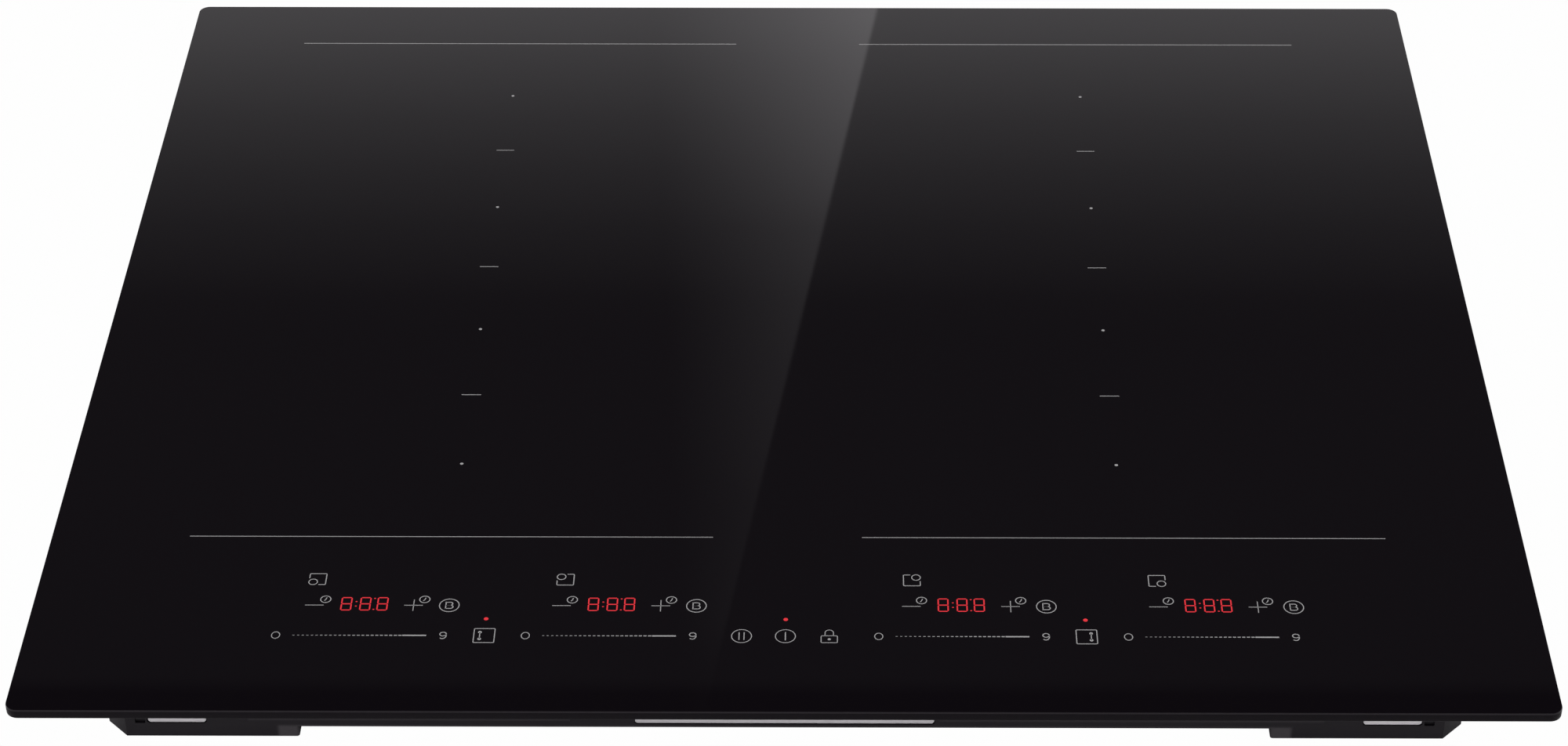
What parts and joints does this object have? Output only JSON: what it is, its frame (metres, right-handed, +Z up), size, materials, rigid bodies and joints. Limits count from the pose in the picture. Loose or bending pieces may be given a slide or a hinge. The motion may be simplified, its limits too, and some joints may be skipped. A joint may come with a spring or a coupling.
{
  "type": "induction hob",
  "caption": "Built-in induction hob: black ceramic glass with printed zone marks and touch controls, on a stepped housing with windings, inverter boards, blowers and swing clamps.",
  "frame": {"origin": "below the middle of the glass, on the plane of the housing underside", "axes": "+X to the right along the front edge, +Y from the controls to the back, +Z up out of the glass"},
  "size_m": [0.59, 0.52, 0.058],
  "materials": {
    "ceramic_glass": "polished",
    "foam": "matte",
    "housing_plastic": "satin",
    "zinc_steel": "satin",
    "clamp_steel": "satin",
    "aluminium_sheet": "satin",
    "carrier_plastic": "satin",
    "control_pcb": "satin",
    "display_body": "satin",
    "ribbon_lead": "satin",
    "former_plastic": "matte",
    "litz_copper": "satin",
    "mica": "satin",
    "sensor_cap": "matte",
    "spring_steel": "satin",
    "power_pcb": "satin",
    "heat_sink_aluminium": "satin",
    "film_capacitor": "satin",
    "film_capacitor_grey": "satin",
    "choke_copper": "satin",
    "blower_plastic": "satin",
    "impeller_plastic": "satin",
    "terminal_plastic": "satin",
    "cord_clamp_plastic": "satin",
    "cover_plastic": "satin",
    "print_grey": "satin",
    "display_light": "satin"
  },
  "bodies": {
    "hob": {"blower_housing_left": "blower_plastic", "blower_housing_right": "blower_plastic", "bottom_housing": "housing_plastic", "bus_capacitor_left": "film_capacitor", "bus_capacitor_right": "film_capacitor", "coil_former_front_left": "former_plastic", "coil_former_front_right": "former_plastic", "coil_former_rear_left": "former_plastic", "coil_former_rear_right": "former_plastic", "coil_tray_left": "aluminium_sheet", "coil_tray_right": "aluminium_sheet", "coil_winding_front_left": "litz_copper", "coil_winding_front_right": "litz_copper", "coil_winding_rear_left": "litz_copper", "coil_winding_rear_right": "litz_copper", "control_board": "control_pcb", "control_carrier": "carrier_plastic", "control_harness": "ribbon_lead", "control_shield": "aluminium_sheet", "cord_clamp": "cord_clamp_plastic", "display_left_inner": "display_body", "display_left_outer": "display_body", "display_right_inner": "display_body", "display_right_outer": "display_body", "filter_choke_left": "choke_copper", "filter_choke_right": "choke_copper", "foam_seal": "foam", "glass_top": "ceramic_glass", "heat_sink_left": "heat_sink_aluminium", "heat_sink_right": "heat_sink_aluminium", "mica_disc_front_left": "mica", "mica_disc_front_right": "mica", "mica_disc_rear_left": "mica", "mica_disc_rear_right": "mica", "power_board_left": "power_pcb", "power_board_right": "power_pcb", "rail_left": "zinc_steel", "rail_right": "zinc_steel", "resonant_capacitor_left": "film_capacitor_grey", "resonant_capacitor_right": "film_capacitor_grey", "temperature_sensor_front_left": "sensor_cap", "temperature_sensor_front_right": "sensor_cap", "temperature_sensor_rear_left": "sensor_cap", "temperature_sensor_rear_right": "sensor_cap", "terminal_block": "terminal_plastic", "terminal_cover": "cover_plastic", "tray_spring_left_inner": "spring_steel", "tray_spring_left_outer": "spring_steel", "tray_spring_right_inner": "spring_steel", "tray_spring_right_outer": "spring_steel"},
    "screw_front_left": {"clamp_screw_front_left": "clamp_steel"},
    "arm_front_left": {"clamp_arm_front_left": "clamp_steel"},
    "screw_front_right": {"clamp_screw_front_right": "clamp_steel"},
    "arm_front_right": {"clamp_arm_front_right": "clamp_steel"},
    "screw_rear_left": {"clamp_screw_rear_left": "clamp_steel"},
    "arm_rear_left": {"clamp_arm_rear_left": "clamp_steel"},
    "screw_rear_right": {"clamp_screw_rear_right": "clamp_steel"},
    "arm_rear_right": {"clamp_arm_rear_right": "clamp_steel"},
    "impeller_left": {"blower_impeller_left": "impeller_plastic"},
    "impeller_right": {"blower_impeller_right": "impeller_plastic"}
  },
  "joints": [
    {"name": "clamp_swing_front_left", "type": "hinge", "parent": "hob", "child": "screw_front_left", "pos_m": [-0.262, -0.186, 0.0056], "axis": [0, 0, 1], "range_deg": [0, 90]},
    {"name": "clamp_lift_front_left", "type": "slide", "parent": "screw_front_left", "child": "arm_front_left", "axis": [0, 0, 1], "range_m": [0, 0.012]},
    {"name": "clamp_swing_front_right", "type": "hinge", "parent": "hob", "child": "screw_front_right", "pos_m": [0.262, -0.186, 0.0056], "axis": [0, 0, -1], "range_deg": [0, 90]},
    {"name": "clamp_lift_front_right", "type": "slide", "parent": "screw_front_right", "child": "arm_front_right", "axis": [0, 0, 1], "range_m": [0, 0.012]},
    {"name": "clamp_swing_rear_left", "type": "hinge", "parent": "hob", "child": "screw_rear_left", "pos_m": [-0.262, 0.226, 0.0056], "axis": [0, 0, -1], "range_deg": [0, 90]},
    {"name": "clamp_lift_rear_left", "type": "slide", "parent": "screw_rear_left", "child": "arm_rear_left", "axis": [0, 0, 1], "range_m": [0, 0.012]},
    {"name": "clamp_swing_rear_right", "type": "hinge", "parent": "hob", "child": "screw_rear_right", "pos_m": [0.262, 0.226, 0.0056], "axis": [0, 0, 1], "range_deg": [0, 90]},
    {"name": "clamp_lift_rear_right", "type": "slide", "parent": "screw_rear_right", "child": "arm_rear_right", "axis": [0, 0, 1], "range_m": [0, 0.012]},
    {"name": "blower_spin_left", "type": "hinge", "parent": "hob", "child": "impeller_left", "pos_m": [-0.14, -0.14, 0.0225], "axis": [0, 0, 1], "continuous": true},
    {"name": "blower_spin_right", "type": "hinge", "parent": "hob", "child": "impeller_right", "pos_m": [0.14, -0.14, 0.0225], "axis": [0, 0, 1], "continuous": true}
  ]
}
